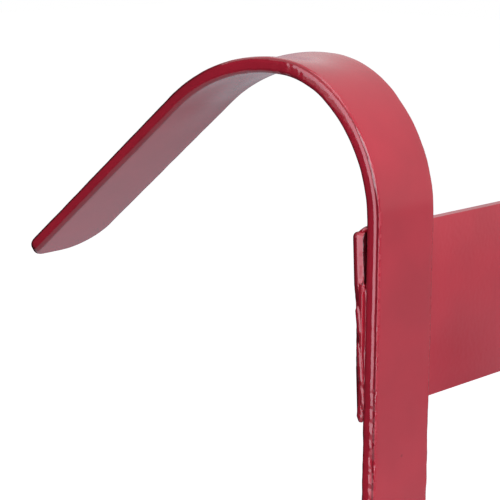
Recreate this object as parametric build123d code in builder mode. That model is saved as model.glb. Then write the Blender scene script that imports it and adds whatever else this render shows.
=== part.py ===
"""Tack hook rack: a flat crossbar carried by two bent straps that hook over a rail, with tack hooks below.

Millimetres. X runs along the crossbar, -Y is the front, +Y is the rail side and Z is up.
The origin is the middle of the crossbar's back face, which lies against the wall or rail.
"""
import os
from math import cos, radians, sin, tan

from build123d import *

os.makedirs("parts", exist_ok=True)

# Flat stock
strap_width = 25.4
strap_thickness = 4.5
strap_edge_radius = 1.5
bar_length = 457.2
bar_height = 50.8
bar_thickness = 3.175
bar_edge_radius = 0.6

# Rail hook at the top of each hanger (radii are to the inside of the bend, angles in degrees)
straight_length_above_bar = 2.0
first_bend_radius = 40.0
first_bend_angle = 51.0
crown_radius = 28.0
crown_angle = 35.0
shoulder_radius = 56.0
leg_slope_angle = 39.4
leg_length = 82.8
tip_skew_angle = 2.0
tip_outer_radius = 5.0
tip_inner_radius = 13.0

# Tack hook at the foot of each hanger and of each inner hook
straight_length_below_bar = 45.0
hook_radius = 30.0
hook_angle = 150.0
hook_leg_length = 35.0
hook_tip_radius = 9.0
shank_top_offset = 6.0
hook_gaps_along_bar = 3

# Welds
seat_gap = 0.2
weld_length = 36.0
weld_leg = 3.5
end_weld_on_bar = 2.2
end_weld_on_strap = 2.4
end_weld_height = 0.8

# Places worked out from the sizes above
bar_front = -bar_thickness
bar_bottom = -bar_height / 2
bar_end = bar_length / 2
weld_bottom = bar_bottom + bar_edge_radius
hanger_centre = (bar_length - strap_width) / 2
inner_hook_centre = hanger_centre - 2 * hanger_centre / hook_gaps_along_bar
shank_top = bar_height / 2 - shank_top_offset
shank_bottom = bar_bottom - straight_length_below_bar
bend_start = bar_height / 2 + straight_length_above_bar
shoulder_angle = 90 + leg_slope_angle - first_bend_angle - crown_angle
hook_heading = 270 - hook_angle


def leg_plane(left_side, bend_end, heading):
    """Plane on the outer face of a leg: x runs along the leg, y across the strap, z into the metal."""
    angle = radians(heading)
    along = Vector(0, cos(angle), sin(angle))
    return Plane(
        origin=(left_side, bend_end.X, bend_end.Y),
        x_dir=along,
        z_dir=along.cross(Vector(1, 0, 0)),
    )


def round_strap_edges(strap):
    """Round the long edges of a strap, as flat bar leaves the mill, and on around the tips."""
    by_side = strap.edges().group_by(Axis.X)
    fillet(by_side[0] + by_side[-1], radius=strap_edge_radius)


def hook_leg(left_side, bend_end, heading):
    """Outline of the upturned leg of a tack hook, with its tip rounded at both corners."""
    with BuildSketch(leg_plane(left_side, bend_end, heading)) as leg:
        Rectangle(hook_leg_length, strap_width, align=(Align.MIN, Align.MIN))
        fillet(leg.vertices().group_by(Axis.X)[-1], radius=hook_tip_radius)
    return leg.sketch


def save(piece, name):
    """Label a finished piece and write it out."""
    piece.part.label = name
    export_step(piece.part, f"parts/{name}.step")


# Crossbar
with BuildPart() as crossbar:
    with BuildSketch(Plane.XZ):
        Rectangle(bar_length, bar_height)
    extrude(amount=bar_thickness)
    fillet(crossbar.edges(), radius=bar_edge_radius)
save(crossbar, "crossbar")

# Hangers: one strap each, upright in front of the crossbar, with its outer edge flush with the bar's end
hanger_side = -bar_end

with BuildPart() as left_hanger:
    with BuildSketch(Plane.YZ.offset(hanger_side)):
        with BuildLine():
            bend_ends = []
            for depth in (0, strap_thickness):
                outside = strap_thickness - depth
                face = bar_front - seat_gap - outside
                upright = Line((face, shank_bottom), (face, bend_start))
                first = JernArc(upright @ 1, upright % 1, first_bend_radius + outside, -first_bend_angle)
                crown = JernArc(first @ 1, first % 1, crown_radius + outside, -crown_angle)
                shoulder = JernArc(crown @ 1, crown % 1, shoulder_radius + outside, -shoulder_angle)
                hook = JernArc(upright @ 0, -(upright % 0), hook_radius + depth, -hook_angle)
                bend_ends.append((shoulder @ 1, hook @ 1))
            (leg_front, hook_front), (leg_back, hook_back) = bend_ends
            Line(leg_front, leg_back)
            Line(hook_front, hook_back)
        make_face()
    extrude(amount=strap_width)
    with BuildSketch(leg_plane(hanger_side, leg_front, -leg_slope_angle)) as leg:
        with BuildLine():
            inner_length = leg_length - strap_width * tan(radians(tip_skew_angle))
            Polyline(
                (0, 0),
                (leg_length, 0),
                (inner_length, strap_width),
                (0, strap_width),
                close=True,
            )
        make_face()
        fillet(leg.vertices().sort_by(Axis.X)[-1], radius=tip_outer_radius)
        fillet(leg.vertices().group_by(Axis.Y)[-1].sort_by(Axis.X)[-1], radius=tip_inner_radius)
    extrude(amount=strap_thickness)
    extrude(hook_leg(hanger_side, hook_back, hook_heading), amount=strap_thickness)
    round_strap_edges(left_hanger)
save(left_hanger, "left_hanger")

with BuildPart() as right_hanger:
    mirror(left_hanger.part, about=Plane.YZ)
save(right_hanger, "right_hanger")

# Inner hooks: straight shanks that lie flat on the crossbar's front face
for side_name, centre in (("left", -inner_hook_centre), ("right", inner_hook_centre)):
    hook_side = centre - strap_width / 2
    with BuildPart() as inner_hook:
        with BuildSketch(Plane.YZ.offset(hook_side)):
            with BuildLine():
                shank_ends = []
                for depth in (0, strap_thickness):
                    face = bar_front - strap_thickness + depth
                    shank = Line((face, shank_top), (face, shank_bottom))
                    bend = JernArc(shank @ 1, shank % 1, hook_radius + depth, -hook_angle)
                    shank_ends.append((shank @ 0, bend @ 1))
                (top_front, bend_front), (top_back, bend_back) = shank_ends
                Line(top_front, top_back)
                Line(bend_front, bend_back)
            make_face()
        extrude(amount=strap_width)
        extrude(hook_leg(hook_side, bend_back, hook_heading), amount=strap_thickness)
        round_strap_edges(inner_hook)
    save(inner_hook, f"{side_name}_inner_hook")

# End welds: a low bead over the seam between the crossbar's end and the strap's edge
with BuildPart() as left_end_weld:
    with BuildSketch(Plane.XY.offset(weld_bottom)):
        with BuildLine():
            on_bar = (-bar_end, bar_front + end_weld_on_bar)
            on_strap = (-bar_end, bar_front - seat_gap - end_weld_on_strap)
            seam = Line(on_bar, on_strap)
            ThreePointArc(on_bar, seam @ 0.5 - Vector(end_weld_height, 0), on_strap)
        make_face()
    extrude(amount=weld_length)
save(left_end_weld, "left_end_weld")

with BuildPart() as right_end_weld:
    mirror(left_end_weld.part, about=Plane.YZ)
save(right_end_weld, "right_end_weld")

# Corner welds: three-cornered fillets between a strap's edge and the crossbar's front face
hanger_inside = hanger_centre - strap_width / 2
hook_outside = inner_hook_centre + strap_width / 2
hook_inside = inner_hook_centre - strap_width / 2
corner_welds = {
    "left_hanger_weld": (-hanger_inside, weld_leg),
    "right_hanger_weld": (hanger_inside, -weld_leg),
    "left_hook_outer_weld": (-hook_outside, -weld_leg),
    "left_hook_inner_weld": (-hook_inside, weld_leg),
    "right_hook_inner_weld": (hook_inside, -weld_leg),
    "right_hook_outer_weld": (hook_outside, weld_leg),
}
for weld_name, (strap_edge, reach) in corner_welds.items():
    with BuildPart() as corner_weld:
        with BuildSketch(Plane.XY.offset(weld_bottom)):
            with BuildLine():
                Polyline(
                    (strap_edge, bar_front),
                    (strap_edge + reach, bar_front),
                    (strap_edge, bar_front - weld_leg),
                    close=True,
                )
            make_face()
        extrude(amount=weld_length)
    save(corner_weld, weld_name)
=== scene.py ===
# %% [markdown]
# # A red tack hook rack
# The rack is welded up from flat steel bar and painted red. Two bent straps hook over a rail, a thin
# crossbar joins them, and every strap ends in an upturned hook. We load the measured solids first, because
# each finer piece that we model has to sit exactly where its solid is.

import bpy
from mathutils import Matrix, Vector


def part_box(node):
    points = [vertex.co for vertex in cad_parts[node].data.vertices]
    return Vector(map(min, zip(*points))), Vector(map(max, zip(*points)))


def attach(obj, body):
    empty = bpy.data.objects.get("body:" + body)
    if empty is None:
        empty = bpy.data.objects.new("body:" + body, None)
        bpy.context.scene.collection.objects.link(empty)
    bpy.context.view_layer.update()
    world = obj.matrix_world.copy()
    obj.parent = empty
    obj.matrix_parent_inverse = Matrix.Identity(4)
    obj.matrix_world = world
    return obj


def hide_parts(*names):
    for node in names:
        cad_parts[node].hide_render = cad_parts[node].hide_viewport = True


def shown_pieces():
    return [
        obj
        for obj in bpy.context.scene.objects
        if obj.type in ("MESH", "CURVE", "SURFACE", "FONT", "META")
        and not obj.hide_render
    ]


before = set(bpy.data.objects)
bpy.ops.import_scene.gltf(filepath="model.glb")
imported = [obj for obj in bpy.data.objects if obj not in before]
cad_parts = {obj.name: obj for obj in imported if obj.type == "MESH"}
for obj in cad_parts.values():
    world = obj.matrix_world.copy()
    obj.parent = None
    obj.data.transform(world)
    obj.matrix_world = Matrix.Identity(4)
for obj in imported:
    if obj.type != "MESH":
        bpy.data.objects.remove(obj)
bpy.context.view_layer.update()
print("solids:", sorted(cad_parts))

# %% [markdown]
# ## Sizes
# The straps and the crossbar are stock flat bar, so a handful of sizes describes everything. They are in
# metres. Places come from the boxes of the solids, so that a bead or a strap can't drift from its seat.

# %% Sizes and places
import bpy
from math import cos, pi, radians, sin, tan
from mathutils import Matrix, Vector

MM = 0.001
tolerance = 1e-6
strap_width = 25.4 * MM
strap_thickness = 4.5 * MM
edge_radius = 1.65 * MM
seat_gap = 0.2 * MM

bar_low, bar_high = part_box("crossbar")
bar_end = bar_high.x
bar_front = bar_low.y
bar_thickness = bar_high.y - bar_low.y
bar_height = bar_high.z - bar_low.z
weld_low, weld_high = (corner.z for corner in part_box("left_end_weld"))
hanger_centre = sum(corner.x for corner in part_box("left_hanger")) / 2
hook_centre = sum(corner.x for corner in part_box("left_inner_hook")) / 2
print("crossbar", [round(side / MM, 2) for side in bar_high - bar_low], "mm")

# %% [markdown]
# ## Working by hand, in code
# Blender's operators act on whatever is selected. These small helpers do what a modeller does with the
# mouse: pick the vertices by their place, leave edit mode with clean normals, apply a modifier, make a copy.

# %% Helpers for selecting and cleaning
def activate(piece):
    """Make one piece the only selected and active object."""
    bpy.ops.object.select_all(action="DESELECT")
    piece.select_set(True)
    bpy.context.view_layer.objects.active = piece


def edit(piece):
    """Go into edit mode on one piece with nothing else selected."""
    activate(piece)
    bpy.ops.object.mode_set(mode="EDIT")


def pick(piece, wanted, kind="VERT"):
    """Select the vertices whose place passes a test, then work on vertices, edges or faces."""
    bpy.ops.mesh.select_mode(type="VERT")
    bpy.ops.mesh.select_all(action="DESELECT")
    bpy.ops.object.mode_set(mode="OBJECT")
    for vertex in piece.data.vertices:
        vertex.select = bool(wanted(vertex.co))
    bpy.ops.object.mode_set(mode="EDIT")
    bpy.ops.mesh.select_mode(type=kind)


def clean(piece):
    """Merge doubles, turn every face outwards and leave edit mode."""
    bpy.ops.mesh.select_mode(type="VERT")
    bpy.ops.mesh.select_all(action="SELECT")
    bpy.ops.mesh.remove_doubles(threshold=1e-7)
    bpy.ops.mesh.normals_make_consistent(inside=False)
    bpy.ops.object.mode_set(mode="OBJECT")


# %% Helpers for modifiers and copies
def apply(piece, kind, **settings):
    """Add one modifier with its settings and apply it at once."""
    activate(piece)
    modifier = piece.modifiers.new(kind.title(), kind)
    for setting, value in settings.items():
        setattr(modifier, setting, value)
    bpy.ops.object.modifier_apply(modifier=modifier.name)


def fix_place(piece):
    """Move an object's place, turn and size into its mesh, so that the piece sits at the origin."""
    activate(piece)
    bpy.ops.object.transform_apply(location=True, rotation=True, scale=True)


def copy_of(piece, name):
    """Copy a piece with a mesh of its own."""
    copy = piece.copy()
    copy.data = piece.data.copy()
    copy.name = name
    bpy.context.scene.collection.objects.link(copy)
    return copy


def mirrored(piece, name):
    """Copy a piece to the other end of the rack and turn its faces outwards again."""
    copy = copy_of(piece, name)
    edit(copy)
    bpy.ops.mesh.select_all(action="SELECT")
    bpy.ops.transform.resize(value=(-1, 1, 1), center_override=(0, 0, 0))
    clean(copy)
    return copy


# %% [markdown]
# ## Bending a strap
# A blacksmith bends the strap cold round formers. We do the same: a four-cornered section is pushed along
# the straights with Extrude Repeat and turned round the bends with Spin. The strap stays square-edged until
# the end, when one Bevel rounds all its edges together, as the rolling mill did. Steps of less than a
# millimetre leave enough vertices to make the edges slightly uneven later.

# %% Straight runs and bends
step = 0.7 * MM


def lay_section(name, centre, height):
    """Start a strap: an open loop of four edges across the strap, back face at Y = 0."""
    bpy.ops.object.select_all(action="DESELECT")
    bpy.ops.mesh.primitive_plane_add(size=1, location=(centre, -strap_thickness / 2, height))
    strap = bpy.context.object
    strap.name = name
    strap.scale = (strap_width, strap_thickness, 1)
    fix_place(strap)
    edit(strap)
    bpy.ops.mesh.delete(type="ONLY_FACE")
    bpy.ops.mesh.select_all(action="SELECT")
    return strap


def run_straight(heading, length):
    """Push the selected section along a straight of that length, in short steps."""
    steps = max(1, round(length / step))
    bpy.ops.mesh.extrude_repeat(steps=steps, offset=heading * (length / steps))


def bend(former_centre, radius, turn):
    """Turn the selected section round a former."""
    steps = max(4, round(radius * turn / step))
    bpy.ops.mesh.spin(steps=steps, angle=turn, center=former_centre, axis=(1, 0, 0))


# %% [markdown]
# The end of a leg is ground to a rounded outline. The last stretch is one long block, because short rows
# would be in the way of the two corners, which a Bevel rounds with their own radii.

# %% Tips
tip_block = 15 * MM


def finish_tip(strap, heading, skew, left_radius, right_radius):
    """Add the last stretch of a leg, slide its right side back, cap it and round both corners."""
    bpy.ops.mesh.extrude_repeat(steps=1, offset=heading * tip_block)
    bpy.ops.mesh.edge_face_add()
    strap.update_from_editmode()
    end_loop = [vertex.co.copy() for vertex in strap.data.vertices if vertex.select]
    left, right = min(co.x for co in end_loop), max(co.x for co in end_loop)
    middle = sum(end_loop, Vector()) / len(end_loop)

    def at_tip(co):
        return (co - middle).length < strap_width and (co - middle).dot(heading) > -tip_block / 2

    pick(strap, lambda co: at_tip(co) and co.x > right - step)
    bpy.ops.transform.translate(value=heading * (-skew))
    for side, radius in ((left, left_radius), (right, right_radius)):
        pick(strap, lambda co: at_tip(co) and abs(co.x - side) < tolerance, "EDGE")
        bpy.ops.mesh.bevel(offset=radius, segments=9, affect="EDGES", clamp_overlap=False)


# %% [markdown]
# ## The hangers
# One strap makes a whole hanger. From the middle it goes up past the crossbar, round the crown in three
# curves and down the sloping leg. The other way it drops below the crossbar and turns up into a tack hook.
# A slit of a fifth of a millimetre stays between strap and crossbar, where they meet only at the welds.

# %% Sizes of the hanger
bend_start = bar_height + 2 * MM
leg_slope = radians(39.4)
first_turn, second_turn = radians(51), radians(35)
last_turn = pi / 2 + leg_slope - first_turn - second_turn
crown_bends = [(40 * MM, first_turn), (28 * MM, second_turn), (56 * MM, last_turn)]
leg_length = 82.8 * MM
tip_skew = radians(2)
tip_radii = (5 * MM, 13 * MM)

hook_start = -45 * MM
hook_radius, hook_turn = 30 * MM, radians(150)
hook_leg = 35 * MM
hook_tip_radius = 9 * MM
print("last turn of the crown:", round(last_turn * 180 / pi, 1), "degrees")


def heading_after(turn):
    """Direction in the YZ plane after turning that far from straight up, over the back."""
    return Vector((0, sin(turn), cos(turn)))


def bend_tack_hook(strap, centre):
    """Turn the strap's selected lower end up into a tack hook."""
    former = Vector((centre, -strap_thickness - hook_radius, hook_start))
    bend(former, hook_radius, hook_turn)
    rising = -heading_after(hook_turn)
    run_straight(rising, hook_leg - tip_block)
    finish_tip(strap, rising, 0, hook_tip_radius, hook_tip_radius)


def round_edges(strap, seat):
    """Round the strap's edges and set the strap on its seat on the crossbar."""
    clean(strap)
    apply(strap, "BEVEL", width=edge_radius, segments=6, limit_method="ANGLE", angle_limit=radians(50))
    strap.location = seat
    fix_place(strap)


# %% Bend the hangers
downwards = Vector((0, 0, -1))
left_hanger = lay_section("left_hanger_strap", hanger_centre, bend_start)
crown_former = Vector((hanger_centre, 0, bend_start))
turned = radius_before = 0
for radius, turn in crown_bends:
    crown_former += Vector((0, cos(turned), -sin(turned))) * (radius - radius_before)
    bend(crown_former, radius, turn)
    turned += turn
    radius_before = radius
down_leg = heading_after(turned)
run_straight(down_leg, leg_length - tip_block)
finish_tip(left_hanger, down_leg, strap_width * tan(tip_skew), *tip_radii)
pick(left_hanger, lambda co: abs(co.z - bend_start) < tolerance and co.y < tolerance)
run_straight(downwards, bend_start - hook_start)
bend_tack_hook(left_hanger, hanger_centre)
round_edges(left_hanger, (0, bar_front - seat_gap, bar_low.z))
right_hanger = mirrored(left_hanger, "right_hanger_strap")
print("hanger:", len(left_hanger.data.polygons), "faces")

# %% [markdown]
# The inner hooks are the lower half of the same strap, standing straight on the crossbar's front face. Their
# top row is one block of five millimetres: Bevel makes no edge rounder than the shortest row beside it, so
# a short row at the top would leave the whole hook with sharp edges.

# %% Bend the inner hooks
shank_top = bar_height - 6 * MM
top_block = 5 * MM
left_hook = lay_section("left_inner_hook_strap", hook_centre, shank_top)
bpy.ops.mesh.edge_face_add()
pick(left_hook, lambda co: True)
bpy.ops.mesh.extrude_repeat(steps=1, offset=downwards * top_block)
run_straight(downwards, shank_top - top_block - hook_start)
bend_tack_hook(left_hook, hook_centre)
round_edges(left_hook, (0, bar_front, bar_low.z))
right_hook = mirrored(left_hook, "right_inner_hook_strap")
print("inner hook:", len(left_hook.data.polygons), "faces")

# %% [markdown]
# ## What bending does to the strap
# A flat bar dishes across its width when it is bent: on the crown the middle sinks below the edges, and the
# outline gets a slight saddle. A plain extruded crown can't show that, so we cut the flats into narrow strips
# and let Displace lower every vertex by its own share of the depth, which fades out in soft steps.

# %% Dish the crowns
flat_half = strap_width / 2 - edge_radius
dish_depth = 0.9 * MM
hangers = [left_hanger, right_hanger]
straps = [*hangers, left_hook, right_hook]


def ramp_between(value, start, finish):
    """A soft step: 0 at the start, 1 at the finish."""
    share = min(max((value - start) / (finish - start), 0.0), 1.0)
    return share * share * (3 - 2 * share)


def middle_of(strap):
    """X of the strap's middle line."""
    return sum(vertex.co.x for vertex in strap.data.vertices) / len(strap.data.vertices)


def push(piece, shares, **settings):
    """Displace a piece, every vertex by its own share of the strength."""
    group = piece.vertex_groups.new(name="share")
    for index, share in enumerate(shares):
        group.add([index], share, "REPLACE")
    apply(piece, "DISPLACE", vertex_group="share", **settings)
    piece.vertex_groups.clear()


def dish_crown(strap):
    """Cut the flats into nine strips and sink the middle of the crown."""
    middle = middle_of(strap)
    edit(strap)
    for eighth in range(-7, 8, 2):
        bpy.ops.mesh.select_all(action="SELECT")
        bpy.ops.mesh.bisect(plane_co=(middle + flat_half * eighth / 8, 0, 0), plane_no=(1, 0, 0))
    clean(strap)
    shares = []
    for vertex in strap.data.vertices:
        along = ramp_between(vertex.co.y, 12 * MM, 32 * MM) * ramp_between(vertex.co.y, 80 * MM, 55 * MM)
        across = ramp_between(abs(vertex.co.x - middle) / flat_half, 1.0, 0.1)
        shares.append(along * across * ramp_between(vertex.co.z, 30 * MM, 45 * MM))
    push(strap, shares, direction="Z", strength=-dish_depth, mid_level=0)


for hanger in hangers:
    dish_crown(hanger)
print("dished crowns:", [hanger.name for hanger in hangers])

# %% [markdown]
# Paint lies differently on a rounded edge than on a flat. Along the corner lines, and on the leg over nearly
# the whole rounding, the colour is darkened as painted shade and painted dark reflection. Beside them the
# paint dries dull and grainy, and below the crossbar and on the crown the edge is knocked about. A texture
# can't know where an edge is, so every vertex gets these shares as attributes of the mesh. The share across
# the edge is 0 where the rounding starts and 1 in the middle of the edge.

# %% Where shade is painted, and where the paint is dull or dented
crown_middle = Vector((36, 35)) * MM


def is_outer(vertex):
    """Whether a vertex lies on the outer side of the bent strap, away from the middle of the crown."""
    return vertex.normal.yz.dot(vertex.co.yz - crown_middle) > 0


def leg_share(co):
    """0 on the upright and the crown, 1 on the sloping leg."""
    return ramp_between(co.y, 45 * MM, 70 * MM)


def below_crown(co):
    """0 on the crown, 1 below it."""
    return ramp_between(co.z, 60 * MM, 40 * MM)


def shade_on_strap(vertex, band):
    """How much shade is painted: a line along each corner, on the leg nearly the whole rounding."""
    on_leg = leg_share(vertex.co)
    if is_outer(vertex):
        corner_line = ramp_between(band, 0.46, 0.58) * ramp_between(band, 0.88, 0.76)
        leg_line = ramp_between(band, 0.96, 0.84) * ramp_between(band, 0.1, 0.3)
        return corner_line * (0.5 + 0.5 * below_crown(vertex.co)) * (1 - on_leg) + leg_line * on_leg
    inner_line = (ramp_between(band, 0.46 - 0.44 * on_leg, 0.58 - 0.3 * on_leg)
                  * ramp_between(band, 0.88 + 0.12 * on_leg, 0.76 + 0.1 * on_leg))
    return inner_line * (0.4 + 0.4 * below_crown(vertex.co)) * (1 - 0.35 * on_leg)


def dull_share(vertex, band):
    """How dull the film is: a band on the outer corners, wider at the foot and faint on the crown."""
    widest = 0.66 + 0.3 * ramp_between(vertex.co.z, -18 * MM, -32 * MM)
    dull_band = ramp_between(band, 0.15, 0.28) * ramp_between(band, widest, widest - 0.1)
    on_upright = (1 - leg_share(vertex.co)) * (0.15 + 0.85 * below_crown(vertex.co))
    return is_outer(vertex) * on_upright * dull_band


def dent_share(co):
    """How knocked about the edge is at a place: most below the crossbar, and some on the crown."""
    below_bar = ramp_between(co.z, -5 * MM, -28 * MM)
    on_crown = 0.35 * ramp_between(co.z, 45 * MM, 62 * MM) * ramp_between(co.y, 50 * MM, 35 * MM)
    return max(0.1, below_bar, on_crown)


# %% Mark the edges
def keep(piece, name, values):
    """Store one value for every vertex as an attribute of the mesh."""
    piece.data.attributes.new(name, "FLOAT", "POINT").data.foreach_set("value", values)


def mark_edges(strap):
    """Work out the shares of all the vertices of a strap and store them."""
    middle = middle_of(strap)
    shares = {"edge_band": [], "painted_shade_share": [], "dull_spots": [], "dents": []}
    for vertex in strap.data.vertices:
        band = min(max((abs(vertex.co.x - middle) - flat_half) / edge_radius, 0.0), 1.0)
        dented_band = ramp_between(band, 0.3, 0.55) * (1 - 0.7 * ramp_between(band, 0.9, 1.0))
        shares["edge_band"].append(band)
        # Painted shade: the corner lines and the leg's rounding are darkened in the colour, as shade and dark
        # reflection.
        shares["painted_shade_share"].append(shade_on_strap(vertex, band))
        shares["dull_spots"].append(dull_share(vertex, band))
        shares["dents"].append(dent_share(vertex.co) * dented_band)
    for name, values in shares.items():
        keep(strap, name, values)


for strap in straps:
    mark_edges(strap)
print("attributes on", len(straps), "straps")

# %% [markdown]
# Bending also stretches the outer side of the crown, so its edges draw in by a tenth of a millimetre, and
# the highlight along the edge moves. The rolled edges themselves aren't dead straight: a soft noise pushes
# them in and out and breaks up the long highlight. It is done after copying, so no two straps are alike.

# %% Make the edges uneven
drawn_in = 0.11 * MM
edge_noise = bpy.data.textures.new("rolled_edge", "CLOUDS")
edge_noise.noise_scale = 0.005
edge_noise.noise_depth = 3


def draw_in_crown(strap, side):
    """Draw one edge in on the outer side of the crown, where bending stretched the metal."""
    middle = middle_of(strap)
    shares = []
    for vertex in strap.data.vertices:
        stretched = ramp_between(vertex.co.z, 35 * MM, 60 * MM) * ramp_between(vertex.co.y, 75 * MM, 45 * MM)
        shares.append(stretched if (vertex.co.x - middle) * side > 0 and is_outer(vertex) else 0.0)
    push(strap, shares, direction="X", strength=-side * drawn_in, mid_level=0)


def make_uneven(strap):
    """Roughen the rounded edges of a strap, most on the corners and less on the middle of the edge."""
    shares = []
    for vertex, band in zip(strap.data.vertices, strap.data.attributes["edge_band"].data):
        on_corner = min(1.0, 2.5 * band.value) * (1 - 0.5 * band.value ** 4)
        shares.append(on_corner * (0.4 + 0.6 * dent_share(vertex.co)))
    push(strap, shares, texture=edge_noise, texture_coords="LOCAL", direction="NORMAL", strength=0.4 * MM,
         mid_level=0.5)
    bpy.ops.object.shade_smooth()
    apply(strap, "WEIGHTED_NORMAL", keep_sharp=True)


for hanger in hangers:
    draw_in_crown(hanger, -1)
    draw_in_crown(hanger, 1)
for strap in straps:
    make_uneven(strap)
print("uneven edges on", len(straps), "straps")

# %% [markdown]
# ## The crossbar
# The crossbar is sheared off a long flat bar, a little askew at the left end. Shearing rolls the back edge of
# the cut over and leaves the front edge ragged. We draw the plate as one rounded outline, cut the ends into
# narrow rows, extrude the thickness and then shape the rows at both ends.

# %% Draw the plate's outline
corner_radius = 1.5 * MM
cut_top, cut_bottom = 1.06 * MM, -2.2 * MM
bpy.ops.object.select_all(action="DESELECT")
bpy.ops.mesh.primitive_plane_add(size=1, location=(0, 0, 0), rotation=(pi / 2, 0, 0))
crossbar = bpy.context.object
crossbar.name = "crossbar_plate"
crossbar.scale = (2 * bar_end, bar_height, 1)
fix_place(crossbar)
edit(crossbar)
for side, further_out in ((1, cut_top), (-1, cut_bottom)):
    pick(crossbar, lambda co: co.x < 0 and co.z * side > 0)
    bpy.ops.transform.translate(value=(-further_out, 0, 0))
bpy.ops.mesh.select_all(action="SELECT")
bpy.ops.mesh.bevel(offset=corner_radius, segments=5, affect="VERTICES")
print("left cut askew by", round((cut_top - cut_bottom) / MM, 2), "mm")

# %% Cut the rows and extrude the plate
row = 0.7 * MM
end_zone = 8 * MM
slit_end = 21 * MM
for inset in (end_zone, slit_end, slit_end + row):
    for side in (-1, 1):
        bpy.ops.mesh.select_all(action="SELECT")
        bpy.ops.mesh.bisect(plane_co=(side * (bar_end - inset), 0, 0), plane_no=(1, 0, 0))
row_height = bar_low.z + corner_radius + row
while row_height < bar_high.z - corner_radius:
    pick(crossbar, lambda co: abs(co.x) > bar_end - end_zone - tolerance, "FACE")
    bpy.ops.mesh.bisect(plane_co=(0, 0, row_height), plane_no=(0, 0, 1))
    row_height += row
bpy.ops.mesh.select_mode(type="FACE")
bpy.ops.mesh.select_all(action="SELECT")
bpy.ops.mesh.extrude_region_move(TRANSFORM_OT_translate={"value": (0, -bar_thickness, 0)})
print("plate extruded by", round(bar_thickness / MM, 3), "mm")

# %% Round the plate's edges
rolled_over, sheared_off = 0.6 * MM, 0.15 * MM


def cut_line(co):
    """How far out the cut lies at a point's height: askew at the left end, square at the right."""
    skew = (cut_top - cut_bottom) / bar_height
    return bar_end + ((cut_top + cut_bottom) / 2 + skew * co.z if co.x < 0 else 0)


def on_rim(co):
    """Whether a point lies on the outline of the plate."""
    return abs(co.x) > cut_line(co) - 1.2 * corner_radius or abs(co.z) > bar_height / 2 - tolerance


pick(crossbar, lambda co: on_rim(co) and co.y > -tolerance, "EDGE")
bpy.ops.mesh.bevel(offset=rolled_over, segments=4, affect="EDGES")
pick(crossbar, lambda co: on_rim(co) and co.y < bar_front + tolerance, "EDGE")
bpy.ops.mesh.bevel(offset=sheared_off, segments=2, affect="EDGES")
for depth in (1.0, 1.4, 1.7, 2.0, 2.3, 2.6, 2.9):
    bpy.ops.mesh.select_all(action="SELECT")
    bpy.ops.mesh.bisect(plane_co=(0, -depth * MM, 0), plane_no=(0, 1, 0))
clean(crossbar)
print("crossbar:", len(crossbar.data.polygons), "faces")

# %% [markdown]
# Above the weld, the front half of the cut slants in, and Randomize makes its front edge ragged. At the weld,
# the heat melted the back edge away a little. On the askew left end, the filled front half is turned upright
# there, square with the strap's edge. Each form is pushed in several short moves on fewer and fewer rows,
# which leaves a curve instead of a step.

# %% Shape the sheared ends
cut_front = bar_front + 0.16 * MM
cut_middle = -1.6 * MM
filled_to = 12 * MM
slant, slant_depths = 0.7 * MM, (1.9, 2.2, 2.5, 2.8)
melted, melted_spans = 0.55 * MM, ((10.5, -12), (9.5, -9), (8.5, -6.5), (7.5, -4), (6.5, -1))
upright_turn, upright_depths = -0.052, (1.6, 1.9, 2.2)
upright_length = 4 * MM
cut_reach = 1.6 * MM
ragged = 0.1 * MM


def at_cut(co, side):
    """Whether a point lies on the cut at one end."""
    return co.x * side > 0 and abs(co.x) > cut_line(co) - cut_reach


edit(crossbar)
for side in (-1, 1):
    for depth in slant_depths:
        pick(crossbar, lambda co: at_cut(co, side) and co.y < -depth * MM and co.z > filled_to)
        bpy.ops.transform.translate(value=(-side * slant / len(slant_depths), 0, 0))
    for top, bottom in melted_spans:
        pick(crossbar, lambda co: at_cut(co, side) and co.y > cut_middle and bottom * MM < co.z < top * MM)
        bpy.ops.transform.translate(value=(-side * melted / len(melted_spans), 0, 0))
    pick(crossbar, lambda co: at_cut(co, side) and co.y < cut_front and co.z > filled_to)
    bpy.ops.transform.vertex_random(offset=ragged, uniform=1, normal=0, seed=5 + side)
for depth in upright_depths:
    pick(crossbar, lambda co: co.x < -bar_end + upright_length and co.y < -depth * MM and co.z < filled_to)
    bpy.ops.transform.rotate(value=upright_turn / len(upright_depths), orient_axis="Y",
                             center_override=(-bar_end, 0, filled_to))
bpy.ops.object.mode_set(mode="OBJECT")
bpy.ops.object.shade_smooth_by_angle(angle=radians(40))
print("sheared ends shaped, cut slants in by", round(slant / MM, 2), "mm")

# %% [markdown]
# The slit behind the strap and the rim of the cut get painted shade, dark in the slit and less on the rim,
# so both are marked for the paint. So is the face between the straps, which kept the duller skin of the
# rolling mill.

# %% Mark the plate
strap_zone = bar_end - slit_end - row / 2
rim_width, rim_depth = 0.5 * MM, 1.05 * MM


def shade_on_plate(co):
    """How much shade is painted on the plate: 1 in the slit, less on the rim of the ends, 0 elsewhere."""
    if co.y < cut_front and abs(co.x) > strap_zone and co.z > filled_to - row:
        return 1.0
    from_rim = min(cut_line(co) - abs(co.x), bar_height / 2 - abs(co.z))
    if abs(co.x) > bar_end - end_zone and from_rim < rim_width and co.y > -rim_depth:
        return 0.8 if co.y > -rim_width else 0.5
    return 0.0


# Painted shade: the slit behind the strap and the rim of the cut are darkened in the colour, as shade.
plate_shade = [shade_on_plate(vertex.co) for vertex in crossbar.data.vertices]
between_straps = [float(abs(vertex.co.x) < strap_zone) for vertex in crossbar.data.vertices]
keep(crossbar, "painted_shade_share", plate_shade)
keep(crossbar, "rolled_face", between_straps)
print("thin film on", sum(share > 0 for share in plate_shade), "of", len(plate_shade), "vertices of the plate")

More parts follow.
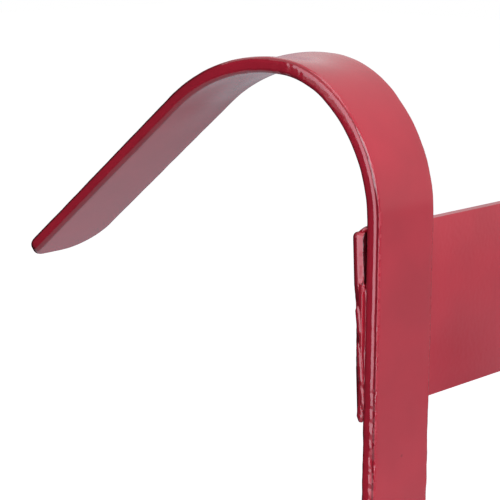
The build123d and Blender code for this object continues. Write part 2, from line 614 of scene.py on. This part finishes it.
# %% [markdown]
# ## Welds
# The rack is stick-welded. Each end of the crossbar is closed to the strap's edge with a low filling bead,
# three short passes over it that slant towards the strap, a drip at the bottom and two thin tips at the top.
# An oval section is run along each pass with Extrude Repeat, drawn in at both ends and made wavy with a soft
# noise, as the puddle froze.

# %% Helpers for beads
weld_noise = bpy.data.textures.new("frozen_puddle", "CLOUDS")
weld_noise.noise_scale = 0.0035
weld_noise.noise_depth = 1
end_shrink = 0.82


def run_bead(name, half_sizes, start, finish, turn=Matrix.Identity(3), rise=0.5 * MM):
    """Run an oval section from start to finish, close both ends and draw them in."""
    bpy.ops.object.select_all(action="DESELECT")
    bpy.ops.mesh.primitive_circle_add(vertices=24, radius=1, fill_type="NGON")
    bead = bpy.context.object
    bead.name = name
    bead.scale = (half_sizes[0], half_sizes[1], 1)
    bead.rotation_euler = turn.to_euler()
    bead.location = start
    fix_place(bead)
    edit(bead)
    bpy.ops.mesh.select_all(action="SELECT")
    way = finish - start
    steps = round(way.length / rise)
    bpy.ops.mesh.extrude_repeat(steps=steps, offset=way / steps)
    for rows_in in (0, 1, 2, 3):
        reach = (rows_in + 0.5) * way.length / steps
        for end_spot, inward in ((start, way.normalized()), (finish, -way.normalized())):
            pick(bead, lambda co: (co - end_spot).dot(inward) < reach)
            bpy.ops.transform.resize(value=[end_shrink] * 3, center_override=end_spot + inward * reach)
    clean(bead)
    return bead


def make_wavy(bead, strength):
    """Push a bead's skin in and out with the soft noise and smooth it."""
    apply(bead, "DISPLACE", texture=weld_noise, texture_coords="LOCAL", direction="NORMAL",
          strength=strength, mid_level=0.5)
    bpy.ops.object.shade_smooth()


def on_end(out, depth, height):
    """A place at the left end in millimetres: outwards from the strap's edge, Y and Z."""
    return Vector((-bar_end - out * MM, depth * MM, height * MM))


# %% Run the end welds
passes = [((0.5, 1.1), on_end(-0.9, -3.7, -25.5), on_end(-0.72, -3.7, 11.0)),
          ((0.6, 1.1), on_end(-0.3, -1.4, 6.0), on_end(-0.4, -2.5, -3.5)),
          ((0.5, 0.9), on_end(-0.4, -1.8, -4.0), on_end(-0.55, -3.15, -17.5)),
          ((0.5, 0.9), on_end(-0.5, -2.85, -15.8), on_end(-0.6, -3.7, -23.5)),
          ((0.7, 1.3), on_end(-0.9, -2.5, -21.0), on_end(-0.95, -2.6, -27.2)),
          ((0.3, 0.45), on_end(0.1, -1.35, 13.6), on_end(0.0, -1.85, 9.0)),
          ((0.3, 0.45), on_end(-0.35, -2.8, 13.2), on_end(-0.3, -3.4, 8.8))]
beads = []
for half_sizes, first_spot, last_spot in passes:
    beads.append(run_bead("left_end_bead", [half * MM for half in half_sizes], first_spot, last_spot))
left_bead = beads[0]
activate(left_bead)
for bead in beads:
    bead.select_set(True)
bpy.ops.object.join()
right_bead = mirrored(left_bead, "right_end_bead")
for bead in (left_bead, right_bead):
    make_wavy(bead, 0.3 * MM)
print("end weld:", len(left_bead.data.polygons), "faces")

# %% [markdown]
# A short tack closes the corner between the top of the crossbar and the back of each hanger. Its oval section
# lies on its side and leans against the strap.

# %% Run the top tacks
lying = Matrix.Rotation(pi / 2, 3, "Y") @ Matrix.Rotation(radians(-33), 3, "Z")
left_tack = run_bead("left_top_tack", (0.9 * MM, 2.5 * MM), on_end(0.2, -1.9, 25.65),
                     on_end(-21, -1.9, 25.65), lying)
right_tack = mirrored(left_tack, "right_top_tack")
tacks = [left_tack, right_tack]
for tack in tacks:
    make_wavy(tack, 0.4 * MM)
print("top tacks:", [tack.name for tack in tacks])

# %% [markdown]
# Six more beads lie in the corners between the straps and the front of the crossbar. A round section is run
# up the corner, and every fifth row is swelled, which gives the stacked ripples of a hand weld. One bead is
# modelled and copied to its six corners, and each copy gets its own waves.

# %% Run the corner welds
corner_welds = ["left_hanger_weld", "right_hanger_weld", "left_hook_outer_weld", "left_hook_inner_weld",
                "right_hook_inner_weld", "right_hook_outer_weld"]
rightward_welds = ("left_hanger_weld", "left_hook_inner_weld", "right_hook_outer_weld")
bead_radius = 2.9 * MM
ripple = 2.5 * MM
master = run_bead("corner_bead", (bead_radius, bead_radius), Vector((0, bar_front, weld_low)),
                  Vector((0, bar_front, weld_high)))
edit(master)
pick(master, lambda co: (co.z - weld_low) % ripple < 0.3 * MM)
bpy.ops.transform.resize(value=(1.12, 1.12, 1), center_override=(0, bar_front, 0))
clean(master)

corner_beads = {}
for solid in corner_welds:
    low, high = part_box(solid)
    bead = copy_of(master, solid.replace("_weld", "_bead"))
    bead.location.x = low.x if solid in rightward_welds else high.x
    fix_place(bead)
    make_wavy(bead, 0.5 * MM)
    apply(bead, "SUBSURF", levels=1)
    corner_beads[bead] = solid
bpy.data.objects.remove(master, do_unlink=True)
print("corner welds:", [bead.name for bead in corner_beads])

# %% [markdown]
# ## Putting the pieces in place of the solids
# Every piece but the two top tacks stands for one solid. The check prints how far each box is from its
# solid's box.

# %% Hand the pieces over
stands_for = {left_hanger: "left_hanger", right_hanger: "right_hanger", left_hook: "left_inner_hook",
              right_hook: "right_inner_hook", crossbar: "crossbar", left_bead: "left_end_weld",
              right_bead: "right_end_weld", **corner_beads}
for tack in tacks:
    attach(tack, "root")
for piece, solid in stands_for.items():
    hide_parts(solid)
    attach(piece, "root")
    corners = [Vector(spot) for spot in piece.bound_box]
    low = [min(spot[axis] for spot in corners) for axis in range(3)]
    high = [max(spot[axis] for spot in corners) for axis in range(3)]
    solid_low, solid_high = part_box(solid)
    print(solid, "off by", [round((a - b) / MM, 2) for a, b in zip(low + high, [*solid_low, *solid_high])])

# %% [markdown]
# ## Red enamel
# The paint is a glossy red enamel, sprayed on thick. The straps, the plate and the welds all wear it, each a
# little differently, so its effects are node groups that three materials share. These helpers add a node,
# feed its sockets and give the output that the next node needs.

# %% Helpers for nodes
def feed(tree, socket, value):
    """Link another node's output to a socket, or set the socket to a plain value."""
    if isinstance(value, bpy.types.NodeSocket):
        tree.links.new(value, socket)
    else:
        socket.default_value = value


def add_node(tree, kind, inputs=None, **settings):
    """Add a node with its settings and feed its inputs, by their name or number."""
    made = tree.nodes.new(kind)
    for setting, value in settings.items():
        setattr(made, setting, value)
    for title, value in (inputs or {}).items():
        feed(tree, made.inputs[title], value)
    return made


def combine(tree, operation, *values):
    """Add a Math node on outputs or plain numbers and give its result."""
    return add_node(tree, "ShaderNodeMath", dict(enumerate(values)), operation=operation).outputs["Value"]


def remap(tree, value, old_ends, new_ends):
    """Stretch one range of a value onto another and stop at its ends."""
    inputs = {"Value": value, "From Min": old_ends[0], "From Max": old_ends[1],
              "To Min": new_ends[0], "To Max": new_ends[1]}
    return add_node(tree, "ShaderNodeMapRange", inputs).outputs["Result"]


def mix(tree, share, first_colour, second_colour):
    """Mix two colours by a share of the second."""
    inputs = {"Factor": share, 6: first_colour, 7: second_colour}
    return add_node(tree, "ShaderNodeMix", inputs, data_type="RGBA").outputs[2]


def noise(tree, scale, detail):
    """Add a noise on Object coordinates, so that the pattern stays on the piece, and give its value."""
    place = add_node(tree, "ShaderNodeTexCoord").outputs["Object"]
    inputs = {"Vector": place, "Scale": scale, "Detail": detail}
    return add_node(tree, "ShaderNodeTexNoise", inputs).outputs["Fac"]


def new_group(name, inputs, output, kind):
    """Make a shader node group with named inputs and one output, and give its inner sockets too."""
    group = bpy.data.node_groups.new(name, "ShaderNodeTree")
    for title, value in inputs.items():
        input_kind = "NodeSocketFloat" if isinstance(value, float) else "NodeSocketColor"
        group.interface.new_socket(title, in_out="INPUT", socket_type=input_kind).default_value = value
    group.interface.new_socket(output, in_out="OUTPUT", socket_type=kind)
    given = group.nodes.new("NodeGroupInput").outputs
    return group, given, group.nodes.new("NodeGroupOutput").inputs[output]


# %% [markdown]
# The colour isn't flat. It runs a little lighter and darker in clouds, it goes nearly black where shade is
# painted on, and a few small specks show where dirt breaks it. A Voronoi texture gives each speck its own
# cell, and the cell's random colour decides which cells get one.

# %% Colour of the enamel
def make_tone():
    """Build the group for the enamel's colour."""
    # shade_red is painted shade, laid on the slit, the rims of the cut and the corner lines of the straps.
    red, shade_red, dirt = (0.5, 0.02, 0.04, 1), (0.07, 0.005, 0.008, 1), (0.05, 0.006, 0.008, 1)
    group, given, result = new_group("enamel_tone", {"Enamel": red, "Specks": 1.0, "Painted_Shade": 0.0},
                                     "Colour", "NodeSocketColor")
    shade = remap(group, noise(group, scale=38.0, detail=3.0), (0.3, 0.7), (0.9, 1.08))
    cloudy = add_node(group, "ShaderNodeVectorMath", {0: given["Enamel"], 1: shade}, operation="MULTIPLY")
    shaded = mix(group, given["Painted_Shade"], cloudy.outputs["Vector"], shade_red)
    place = add_node(group, "ShaderNodeTexCoord").outputs["Object"]
    cells = add_node(group, "ShaderNodeTexVoronoi", {"Vector": place, "Scale": 190.0})
    dots = remap(group, cells.outputs["Distance"], (0.06, 0.1), (1.0, 0.0))
    lottery = add_node(group, "ShaderNodeSeparateColor", {"Color": cells.outputs["Color"]})
    few = combine(group, "GREATER_THAN", lottery.outputs["Red"], 0.93)
    specks = combine(group, "MULTIPLY", combine(group, "MULTIPLY", dots, few), given["Specks"])
    group.links.new(mix(group, specks, shaded, dirt), result)
    return group


tone = make_tone()
print("colour group:", tone.name)

# %% [markdown]
# The surface has a fine orange peel all over, small pits that are deepest on the rolled edges, and larger
# dents where the edge was knocked. The dents swing evenly about zero, because a noise that only rises would
# tilt the surface wherever their share fades out. All three are too fine for the mesh, so a Bump node shows
# them.

# %% Relief of the enamel
def make_relief():
    """Build the group for the height that drives the bump."""
    group, given, result = new_group("enamel_relief", {"Peel": 0.1, "Pits": 0.0, "Dents": 0.0},
                                     "Height", "NodeSocketFloat")
    peel = combine(group, "MULTIPLY", noise(group, scale=420.0, detail=2.0), given["Peel"])
    pits = combine(group, "MULTIPLY", noise(group, scale=700.0, detail=0.5), given["Pits"])
    dents = combine(group, "MULTIPLY_ADD", noise(group, scale=300.0, detail=1.0), 3.0, -1.5)
    fine = combine(group, "ADD", peel, pits)
    group.links.new(combine(group, "MULTIPLY_ADD", dents, given["Dents"], fine), result)
    return group


relief = make_relief()
print("relief group:", relief.name)

# %% [markdown]
# Sprayed enamel isn't equally glossy everywhere, and a single roughness would look like plastic. A soft noise
# lets it drift between a least and a most roughness. Where the film is dull, a finer noise, cut off steeply,
# breaks it up into grains.

# %% Gloss of the enamel
def make_gloss():
    """Build the group for the roughness."""
    group, given, result = new_group("enamel_gloss", {"Least": 0.13, "Most": 0.24, "Dull": 0.0},
                                     "Roughness", "NodeSocketFloat")
    drift = remap(group, noise(group, scale=90.0, detail=4.0), (0.0, 1.0), (given["Least"], given["Most"]))
    grain = remap(group, noise(group, scale=480.0, detail=1.5), (0.5, 0.55), (0.0, 0.5))
    group.links.new(combine(group, "MULTIPLY_ADD", grain, given["Dull"], drift), result)
    return group


gloss = make_gloss()
print("gloss group:", gloss.name)

# %% [markdown]
# Each material places the three groups with its own levels, and attributes of the mesh steer some of them
# through a colour ramp. The straps are glossier on their edges than on the flats and take the painted shade,
# dull and dented shares. The plate is duller on its rolled face and takes painted shade in the slit and on
# the rim of the cut. The welds are the glossiest, with the strongest peel.

# %% Helpers for the paints
def enamel(name, **levels):
    """Make one enamel from the shared groups, with its own levels for some of their inputs."""
    paint = bpy.data.materials.new(name)
    paint.use_nodes = True
    tree = paint.node_tree
    shader = tree.nodes["Principled BSDF"]
    shader.inputs["IOR"].default_value = 1.5
    for group in (tone, relief, gloss):
        effect = add_node(tree, "ShaderNodeGroup", node_tree=group, name=group.name)
        for title, level in levels.items():
            if title in effect.inputs:
                effect.inputs[title].default_value = level
    height = tree.nodes[relief.name].outputs["Height"]
    bump = add_node(tree, "ShaderNodeBump", {"Height": height, "Distance": 0.3 * MM})
    feed(tree, shader.inputs["Base Color"], tree.nodes[tone.name].outputs["Colour"])
    feed(tree, shader.inputs["Roughness"], tree.nodes[gloss.name].outputs["Roughness"])
    feed(tree, shader.inputs["Normal"], bump.outputs["Normal"])
    return paint


def steer(paint, attribute, stops, group, title):
    """Let an attribute of the mesh drive one input of a group, through a ramp."""
    tree = paint.node_tree
    source = add_node(tree, "ShaderNodeAttribute", attribute_name=attribute)
    ramp = add_node(tree, "ShaderNodeValToRGB", {"Fac": source.outputs["Fac"]})
    elements = ramp.color_ramp.elements
    for index, (stop, level) in enumerate(stops):
        element = elements[index] if index < 2 else elements.new(stop)
        element.position = stop
        element.color = (level, level, level, 1)
    feed(tree, tree.nodes[group.name].inputs[title], ramp.outputs["Color"])


# %% Mix the three paints
strap_paint = enamel("red_enamel_on_straps", Specks=0.35, Peel=0.06)
edge_pits = ((0.05, 0), (0.25, 0.3), (0.5, 0.3), (0.7, 0.1), (1, 0.03))
steer(strap_paint, "edge_band", edge_pits, relief, "Pits")
steer(strap_paint, "dents", ((0, 0), (1, 1)), relief, "Dents")
# Painted shade: the corner lines and the leg's rounding are darkened in the colour, as shade.
steer(strap_paint, "painted_shade_share", ((0, 0), (1, 0.85)), tone, "Painted_Shade")
steer(strap_paint, "dull_spots", ((0, 0), (1, 1)), gloss, "Dull")
steer(strap_paint, "edge_band", ((0, 0.18), (0.12, 0.06)), gloss, "Least")
steer(strap_paint, "edge_band", ((0, 0.24), (0.12, 0.12)), gloss, "Most")

plate_paint = enamel("red_enamel_on_plate", Specks=1.0, Peel=0.1, Pits=0.1)
steer(plate_paint, "rolled_face", ((0, 0.07), (1, 0.26)), gloss, "Least")
steer(plate_paint, "rolled_face", ((0, 0.14), (1, 0.32)), gloss, "Most")
# Painted shade: the slit and the rim of the cut are darkened in the colour, as shade.
steer(plate_paint, "painted_shade_share", ((0, 0), (1, 1)), tone, "Painted_Shade")

weld_paint = enamel("red_enamel_on_welds", Specks=0.5, Peel=0.12, Pits=0.2, Least=0.05, Most=0.09)
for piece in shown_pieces():
    paint = strap_paint if piece in straps else plate_paint if piece is crossbar else weld_paint
    piece.data.materials.clear()
    piece.data.materials.append(paint)

# %% [markdown]
# ## Camera
# The camera looks at the near end of the rack from the front left and a little above, through a long lens.

# %% Camera
azimuth, elevation, roll = radians(-47.977), radians(11.381), radians(-0.388)
camera_data = bpy.data.cameras.new("camera")
camera_data.lens = 125.857
camera_data.clip_start = 0.01
camera = bpy.data.objects.new("camera", camera_data)
camera.location = (-0.583667, -0.282897, 0.111442)
towards_camera = Vector((sin(azimuth) * cos(elevation), -cos(azimuth) * cos(elevation), sin(elevation)))
aim = (-towards_camera).to_track_quat("-Z", "Y")
camera.rotation_mode = "QUATERNION"
camera.rotation_quaternion = aim @ Matrix.Rotation(-roll, 3, "Z").to_quaternion()
bpy.context.scene.collection.objects.link(camera)
bpy.context.scene.camera = camera
print("camera at", [round(place / MM) for place in camera.location], "mm")

# %% [markdown]
# ## Studio
# A white floor and a white surround make the plain background. Light Path lets the camera see both as white
# and reflections see them bright, while the light that they throw on the rack stays low.

# %% Surround
def looked_at(tree, mirrored_share=1.0):
    """Add up the rays that show a surface as a background: camera, glossy and transmission rays."""
    path = add_node(tree, "ShaderNodeLightPath").outputs
    mirrored_rays = combine(tree, "ADD", path["Is Glossy Ray"], path["Is Transmission Ray"])
    inputs = {0: mirrored_rays, 1: mirrored_share, 2: path["Is Camera Ray"]}
    total = add_node(tree, "ShaderNodeMath", inputs, operation="MULTIPLY_ADD", use_clamp=True)
    return total.outputs["Value"]


white = (1, 1, 1, 1)
studio = bpy.data.worlds.new("studio")
bpy.context.scene.world = studio
studio.use_nodes = True
sky = studio.node_tree
ambient = sky.nodes["Background"]
ambient.inputs["Color"].default_value = white
ambient.inputs["Strength"].default_value = 0.08
seen = add_node(sky, "ShaderNodeBackground", {"Color": white, "Strength": 1.0})
choice = add_node(sky, "ShaderNodeMixShader", {"Fac": looked_at(sky), 1: ambient.outputs["Background"],
                                               2: seen.outputs["Background"]})
sky.links.new(choice.outputs["Shader"], sky.nodes["World Output"].inputs["Surface"])
print("surround:", studio.name)

# %% [markdown]
# The floor is matt paper that glows only for the rays that look at it. From below it is see-through, so that
# a view from under the rack isn't blocked.

# %% Floor
bpy.ops.object.select_all(action="DESELECT")
bpy.ops.mesh.primitive_plane_add(size=14, location=(0, 0, -0.5))
floor = bpy.context.object
floor.name = "floor"
paper = bpy.data.materials.new("white_paper")
paper.use_nodes = True
tree = paper.node_tree
tree.nodes.remove(tree.nodes["Principled BSDF"])
matt = add_node(tree, "ShaderNodeBsdfDiffuse", {"Color": (0.38, 0.38, 0.46, 1)})
glow = add_node(tree, "ShaderNodeEmission", {"Color": white, "Strength": looked_at(tree, 0.6)})
lit = add_node(tree, "ShaderNodeAddShader", {0: matt.outputs["BSDF"], 1: glow.outputs["Emission"]})
clear = add_node(tree, "ShaderNodeBsdfTransparent")
from_below = add_node(tree, "ShaderNodeNewGeometry").outputs["Backfacing"]
sides = add_node(tree, "ShaderNodeMixShader", {"Fac": from_below, 1: lit.outputs["Shader"],
                                               2: clear.outputs["BSDF"]})
tree.links.new(sides.outputs["Shader"], tree.nodes["Material Output"].inputs["Surface"])
floor.data.materials.append(paper)
print("floor at", floor.location.z, "m")

# %% [markdown]
# ## Light
# Three soft boxes light the rack: one in front on the left, one above, and a weak one on the left that fills
# the shadows. Gloss paint shows whatever stands around it, so light, grey and dark cards stand where the
# reflections on the real rack are light, grey and dark. Only reflections see the cards.

# %% Helpers for soft boxes and cards
near_end = Vector((-bar_end, 0, 0))


def around(turn, distance, height):
    """A place round the near end of the rack; the turn runs from the left towards the front."""
    angle = radians(turn)
    return near_end + Vector((-cos(angle) * distance, -sin(angle) * distance, height))


def soft_box(name, spot, target, width, height, brightness, mirrored_too=True):
    """Hang an area lamp at a spot, facing a target; brightness is what a mirror would show."""
    lamp = bpy.data.lights.new(name, "AREA")
    lamp.shape = "RECTANGLE"
    lamp.size, lamp.size_y = width, height
    lamp.energy = brightness * 4 * width * height
    lamp.color = (0.96, 0.98, 1.06)
    box = bpy.data.objects.new(name, lamp)
    box.location = spot
    box.rotation_euler = (target - spot).to_track_quat("-Z", "Y").to_euler()
    box.visible_camera = False
    box.visible_glossy = mirrored_too
    bpy.context.scene.collection.objects.link(box)


def card(name, spot, target, width, height, level):
    """Stand a card at a spot, facing a target, that only reflections see."""
    bpy.ops.object.select_all(action="DESELECT")
    bpy.ops.mesh.primitive_plane_add(size=1, location=spot)
    sheet = bpy.context.object
    sheet.name = name
    sheet.scale = (width, height, 1)
    sheet.rotation_euler = (target - spot).to_track_quat("Z", "Y").to_euler()
    fix_place(sheet)
    cover = bpy.data.materials.new(name)
    cover.use_nodes = True
    nodes = cover.node_tree.nodes
    nodes.remove(nodes["Principled BSDF"])
    tint = (0.97 * level, 0.95 * level, 1.05 * level, 1)
    face = add_node(cover.node_tree, "ShaderNodeEmission", {"Color": tint})
    feed(cover.node_tree, nodes["Material Output"].inputs["Surface"], face.outputs["Emission"])
    sheet.data.materials.append(cover)
    for ray in ("camera", "diffuse", "transmission", "volume_scatter", "shadow"):
        setattr(sheet, "visible_" + ray, False)


# %% Soft boxes
soft_box("key_soft_box", around(62, 1.6, 0.75), around(0, 0, 0), 1.4, 1.2, 4.5)
soft_box("top_soft_box", Vector((-0.25, -0.2, 1.3)), Vector((-0.2, 0, 0)), 0.9, 0.7, 2.0)
soft_box("fill_soft_box", around(-12, 1.3, 0.35), around(0, 0, 0), 0.7, 0.8, 0.45, mirrored_too=False)
print("soft boxes:", [lamp.name for lamp in bpy.data.lights])

# %% Cards
card("left_light_card", around(-0.5, 1.2, 0.4), around(0, 0, 0.4), 1.04, 1.76, 4.4)
card("high_light_card", around(-30, 1.1, 0.6), around(0, 0, 0.6), 0.27, 1.0, 3.8)
card("front_light_card", around(74, 1.3, 0.1), around(0, 0, 0.1), 0.34, 1.15, 5.5)
card("front_grey_card", around(104, 1.2, -0.1), around(0, 0, -0.1), 0.85, 0.7, 0.4)
card("dark_card", around(-48.5, 0.6, -0.23), around(0, 0, -0.23), 0.57, 0.5, 0.03)
card("far_dark_card", around(-95, 0.6, -0.05), around(0, 0, -0.05), 0.6, 0.86, 0.03)
card("high_dark_card", around(-57, 1.0, 0.46), around(0, 0, 0.46), 0.7, 0.96, 0.03)
card("camera_side_card", around(48, 1.2, -0.15), around(0, 0, -0.15), 0.8, 0.65, 0.05)
card("back_grey_card", Vector((0.66, 0.85, 0.05)), Vector((-0.23, 0.04, 0.05)), 0.9, 0.42, 0.62)
card("grey_card", Vector((0.4, 0.75, -0.25)), Vector((-0.2, 0.05, -0.25)), 1.4, 0.48, 0.58)
card("under_card", Vector((0.0, 0.5, -0.45)), Vector((0, 0.5, 0)), 1.8, 1.2, 0.82)
print("cards:", [cover.name for cover in bpy.data.materials if cover.name.endswith("_card")])

# %% [markdown]
# ## Finish
# Standard view keeps the colours as they are mixed.

# %% Finish
bpy.context.scene.view_settings.view_transform = "Standard"
